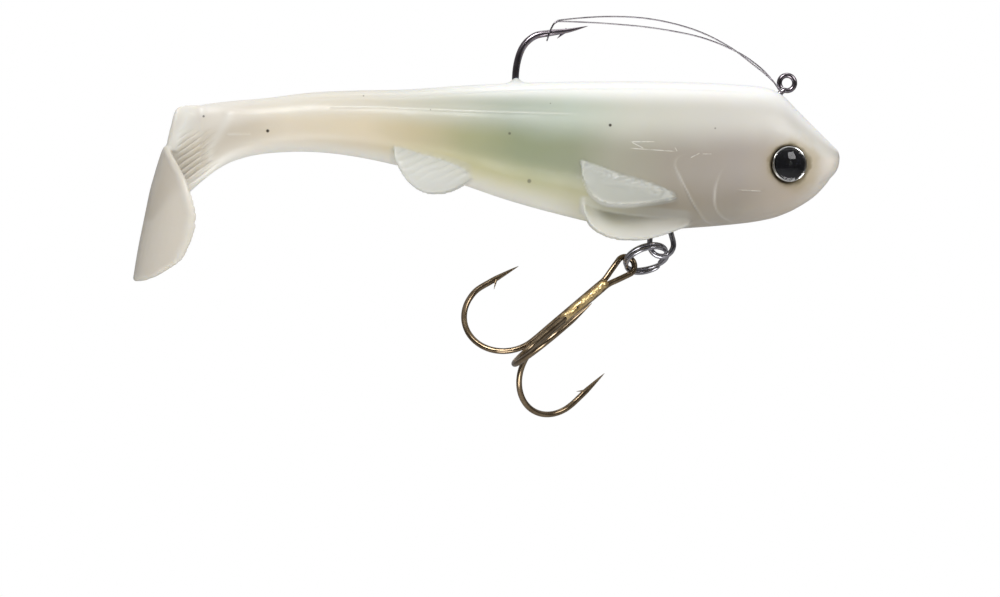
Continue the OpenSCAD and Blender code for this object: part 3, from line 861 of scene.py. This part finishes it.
# ---------------------------------------------------------------- hooks and wires
def tapered(path, tip, length, thick):
    """Radius at each point of a wire that runs out to a point at tip."""
    left = np.linalg.norm(np.array(path) - np.array(tip), axis=1)
    slim = 0.03 + (thick / 2 - 0.03) * np.clip(left / length, 0, 1) ** 0.8
    return np.where(left < length, slim, thick / 2)


def barb(root, tip, wide=0.3, across=(0, 1, 0)):
    root, tip = np.array(root, float), np.array(tip, float)
    path = [root + (tip - root) * t for t in np.linspace(-0.15, 1, 9)]
    radii = [wide * (1 - 0.93 * t ** 1.3) for t in np.linspace(0, 1, 9)]
    return sweep(path, radii, 12, across, [0.72] * 9)


def main_hook(material):
    loop = [(TIE_R * math.cos(a), 0, TIE_R * math.sin(a))
            for a in np.radians(np.linspace(*TIE_TURN, 58))]
    shank = spline([loop[0]] + HOOK[1:], 10)
    path = np.vstack([loop[:0:-1], shank])
    radii = tapered(path, HOOK[-1], POINT_LEN, HOOK_WIRE)
    thin = smoothstep(-12, 0, path[:, 0])
    radii = np.where(path[:, 0] > -30, radii + thin * (TIE_WIRE - HOOK_WIRE) / 2, radii)
    # The bend is forged: pressed a little flatter across the hook.
    forged = smoothstep(-46, -50, path[:, 0])
    tube = sweep(path, radii, 24, (0, 1, 0), 1 - 0.1 * forged)
    piece = make("hook_main", merge(tube, barb(*HOOK_BARB)), material, "lure")
    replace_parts(piece, "main_hook")


def weed_guard(material):
    leg = spline(GUARD, 8)
    rear, front = GUARD[-5][0], GUARD[2][0]
    behind = np.clip((leg[:, 0] - GUARD_CROSS_X) / (rear - GUARD_CROSS_X), 0, 1)
    ahead = np.clip((leg[:, 0] - GUARD_CROSS_X) / (front - GUARD_CROSS_X), 0, 1)
    arch = GUARD_LEAN[0] * np.sin(math.pi * behind) - GUARD_LEAN[1] * np.sin(math.pi * ahead)
    lean = np.outer(arch, (0, 0, 1))
    near = leg * (1, -1, 1) + lean
    far = leg - lean
    path = np.vstack([near, far[-2::-1]])
    piece = make("guard_wire", sweep(path, [GUARD_WIRE / 2] * len(path), 12), material,
                 "guard")
    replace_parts(piece, "weed_guard")


def belly_hanger(material):
    half = (HANGER_X[1] - HANGER_X[0]) / 2
    middle = (HANGER_X[0] + HANGER_X[1]) / 2
    arc = [(middle + half * math.cos(a), 0, HANGER_Z + half * math.sin(a))
           for a in np.radians(np.linspace(180, 360, 37))]
    legs = [[(x - lean * smoothstep(HANGER_Z, HANGER_Z + 3, z), 0, z)
             for z in np.linspace(HANGER_TOP, HANGER_Z, 16)]
            for x, lean in zip(HANGER_X, (-0.1, HANGER_LEAN))]
    path = legs[0][:-1] + arc + legs[1][-2::-1]
    piece = make("hanger_loop", sweep(path, [HANGER_WIRE / 2] * len(path), 24), material,
                 "lure")
    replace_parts(piece, "belly_hanger")


def ring_point(degrees):
    a = math.radians(degrees)
    return RING_C + RING_R * (math.cos(a) * RING_U + math.sin(a) * RING_V)


def split_ring(material):
    lane = (RING_WIRE + 0.04) / 2
    path, radii = [], []
    for q in np.linspace(0, 720, 181):
        share = min(1, max(-1, (q - 360) / 50))
        path.append(tuple(ring_point(q - 60) + lane * math.sin(math.pi / 2 * share) * RING_N))
        end = min(q, 720 - q) / 12
        radii.append(RING_WIRE / 2 * (1 - 0.5 * (1 - min(end, 1)) ** 2))
    piece = make("ring_coil", sweep(path, radii, 20, RING_N), material, "ring")
    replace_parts(piece, "split_ring")


def treble_point(along, out, turn):
    a = math.radians(turn)
    spoke = math.cos(a) * TREBLE_OUT + math.sin(a) * TREBLE_SIDE
    return TREBLE_EYE + along * TREBLE_AXIS + out * spoke


def bend_rows(point_in):
    """One hook of the treble, as (along the shank, out from its axis), eye end first."""
    centre = SHANK_R + TREBLE_BEND
    rows = [(a, SHANK_R) for a in range(TREBLE_EYE_LEN + 3, BEND_AT - 3, 4)]
    rows += [(BEND_AT + TREBLE_BEND * math.cos(q), centre + TREBLE_BEND * math.sin(q))
             for q in np.radians(range(-90, 91, 15))]
    rows += [(BEND_AT - 3, centre + TREBLE_BEND - 0.28 * point_in),
             (POINT_AT + 2.2, centre + TREBLE_BEND - 0.74 * point_in),
             (POINT_AT, centre + TREBLE_BEND - point_in)]
    return rows


def treble_barb(turn):
    far = SHANK_R + 2 * TREBLE_BEND - 0.5 * POINT_IN[turn]
    return barb(treble_point(POINT_AT + 5.2, far, turn),
                treble_point(POINT_AT + 7.1, far - 1.4, turn), 0.36, TREBLE_AXIS)


def double_hook():
    sides = (120, -120)
    hooks = [[treble_point(a, o, turn) for a, o in bend_rows(POINT_IN[turn])] for turn in sides]
    loop = [TREBLE_EYE + (TREBLE_EYE_R + TREBLE_WIRE / 2 - TREBLE_EYE_R * math.cos(q)) * TREBLE_AXIS
            + TREBLE_EYE_R * math.sin(q) * TREBLE_SIDE for q in np.radians(range(-110, 111, 20))]
    wide = SHANK_R * math.sin(math.radians(120))
    off = SHANK_R * math.cos(math.radians(120))

    def waist(along, out, across):
        return TREBLE_EYE + along * TREBLE_AXIS + out * TREBLE_OUT + across * TREBLE_SIDE

    path = hooks[1][::-1]
    path += [waist(TREBLE_EYE_LEN + 0.6, off, -wide - 0.02),
             waist(TREBLE_EYE_LEN - 1.6, off / 2, -1.15)]
    path += loop
    path += [waist(TREBLE_EYE_LEN - 1.6, off / 2, 1.15),
             waist(TREBLE_EYE_LEN + 0.6, off, wide + 0.02)]
    path += hooks[0]
    fine = spline(path, 6)
    radii = np.minimum(tapered(fine, path[0], TREBLE_TAPER, TREBLE_WIRE),
                       tapered(fine, path[-1], TREBLE_TAPER, TREBLE_WIRE))
    return merge(sweep(fine, radii, 20, TREBLE_OUT), treble_barb(120), treble_barb(-120))


def third_hook():
    path = [treble_point(a, o, 0) for a, o in bend_rows(POINT_IN[0])]
    fine = spline(path, 6)
    radii = tapered(fine, path[-1], TREBLE_TAPER, TREBLE_WIRE)
    return merge(sweep(fine, radii, 20, TREBLE_SIDE), treble_barb(0))


def braze():
    """Brass run into the grooves between the three shanks, and over the foremost of them."""
    sides, steps = 60, 90
    rings = []
    for i in range(steps + 1):
        t = i / steps
        at = TREBLE_EYE + (BRAZE_FROM + t * BRAZE_LEN) * TREBLE_AXIS
        body = min(1, 4 * math.sin(math.pi * t)) ** 0.5
        ring = []
        for k in range(sides):
            a = 2 * math.pi * k / sides
            spoke = math.cos(a) * TREBLE_OUT + math.sin(a) * TREBLE_SIDE
            front = math.exp(-((1 - math.cos(a)) / 0.3) ** 2)
            radius = (0.88 + 0.46 * front) * (0.55 + 0.45 * body)
            point = at + radius * spoke
            rough = noise.noise(point * 0.7) * 0.18 + noise.noise(point * 2.2) * 0.05
            ring.append(tuple(point + rough * spoke))
        rings.append(ring)
    return loft(rings)


def treble(bronze, brass):
    for name, shape, node in (("treble_pair", double_hook(), "treble_double_hook"),
                              ("treble_single", third_hook(), "treble_third_hook")):
        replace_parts(make(name, shape, bronze, "treble"), node)
    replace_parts(make("treble_brazing", braze(), brass, "treble"), "treble_braze")


# ---------------------------------------------------------------- setting
def add_world():
    """White where it is seen, but dim as a light, so that metal and the eyes keep contrast."""
    world = bpy.data.worlds.new("studio")
    bpy.context.scene.world = world
    world.use_nodes = True
    tree = world.node_tree
    tree.nodes.clear()
    way = tree.nodes.new("ShaderNodeSeparateXYZ")
    seen = tree.nodes.new("ShaderNodeLightPath")
    lean = tree.nodes.new("ShaderNodeMath")
    lean.operation = "MULTIPLY_ADD"
    lean.inputs[1].default_value = 3
    light = tree.nodes.new("ShaderNodeMapRange")
    light.interpolation_type = "SMOOTHSTEP"
    for key, value in (("From Min", -1.5), ("From Max", 3.5), ("To Min", 0.05), ("To Max", 0.5)):
        light.inputs[key].default_value = value
    choice = tree.nodes.new("ShaderNodeMix")
    choice.inputs["B"].default_value = 1.0
    back = tree.nodes.new("ShaderNodeBackground")
    out = tree.nodes.new("ShaderNodeOutputWorld")
    place = tree.nodes.new("ShaderNodeTexCoord")
    link = tree.links.new
    link(place.outputs["Generated"], way.inputs[0])
    link(way.outputs["Z"], lean.inputs[0])
    link(way.outputs["Y"], lean.inputs[2])
    link(lean.outputs[0], light.inputs["Value"])
    link(seen.outputs["Is Camera Ray"], choice.inputs["Factor"])
    link(light.outputs[0], choice.inputs["A"])
    link(choice.outputs["Result"], back.inputs["Strength"])
    back.inputs["Color"].default_value = (1, 1, 1, 1)
    link(back.outputs[0], out.inputs["Surface"])


def pale_floor():
    m = Nodes("pale_floor")
    colour = m.ramp(m.noise(40), [(0.3, (0.52, 0.52, 0.52, 1)), (0.7, (0.56, 0.56, 0.56, 1))])
    return m.finish(Base_Color=colour, Roughness=0.85)


def add_setting():
    add_world()
    bpy.context.scene.view_settings.view_transform = "Standard"
    floor_z, half = FLOOR_Z * MM, 1.5
    mesh = bpy.data.meshes.new("floor")
    mesh.from_pydata([(-half, -half, floor_z), (half, -half, floor_z), (half, half, floor_z),
                      (-half, half, floor_z)], [], [(0, 1, 2, 3)])
    mesh.materials.append(pale_floor())
    floor = bpy.data.objects.new("floor", mesh)
    bpy.context.scene.collection.objects.link(floor)

    middle = Vector((-0.057, 0, -0.012))
    for name, place, size, watts in LAMPS:
        light = bpy.data.lights.new(name, "AREA")
        light.energy = watts
        light.size = size
        lamp = bpy.data.objects.new(name, light)
        lamp.location = place
        lamp.rotation_euler = (middle - Vector(place)).to_track_quat("-Z", "Y").to_euler()
        bpy.context.scene.collection.objects.link(lamp)

    view = bpy.data.cameras.new("view")
    distance, across = 0.9, 0.2
    view.lens = view.sensor_width * distance / across
    camera = bpy.data.objects.new("view", view)
    camera.location = (VIEW_X * MM, -distance, VIEW_Z * MM)
    camera.rotation_euler = (math.radians(90), 0, 0)
    bpy.context.scene.collection.objects.link(camera)
    bpy.context.scene.camera = camera


add_setting()

TREBLE_EYE = ring_point(TREBLE_HANG) - TREBLE_DROP * TREBLE_AXIS

black_nickel = metal("black_nickel", srgb(112, 104, 110), srgb(146, 138, 144))
bright_nickel = metal("ring_nickel", srgb(140, 138, 144), srgb(186, 184, 190))
spring_steel = metal("spring_steel", srgb(112, 106, 112), srgb(150, 146, 150))
bronze = metal("dark_bronze", srgb(118, 101, 80), srgb(148, 130, 106))
brass = metal("rough_brass", srgb(176, 140, 84), srgb(236, 208, 152), (0.3, 0.38), 0.004, 450, 0.38)
foil = metal("eye_foil", srgb(120, 118, 114), srgb(176, 174, 170))

lead = metal("cast_lead", srgb(92, 94, 98), srgb(128, 130, 134), (0.45, 0.62), 0.02, 700)
for node, finish in (("jig_weight", lead), ("guard_roots", spring_steel)):
    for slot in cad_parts[node].material_slots:
        slot.material = finish

skin, tail = soft_moulding(plastic("milky_plastic"))
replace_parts(skin, "soft_body", "tail_stem")
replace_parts(tail, "tail_paddle")
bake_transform(skin)
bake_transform(tail)

for side, label in ((1, "left"), (-1, "right")):
    add_eye(side, label, foil, eye_black(), eye_resin())

main_hook(black_nickel)
belly_hanger(bright_nickel)
weed_guard(spring_steel)
split_ring(bright_nickel)
treble(bronze, brass)
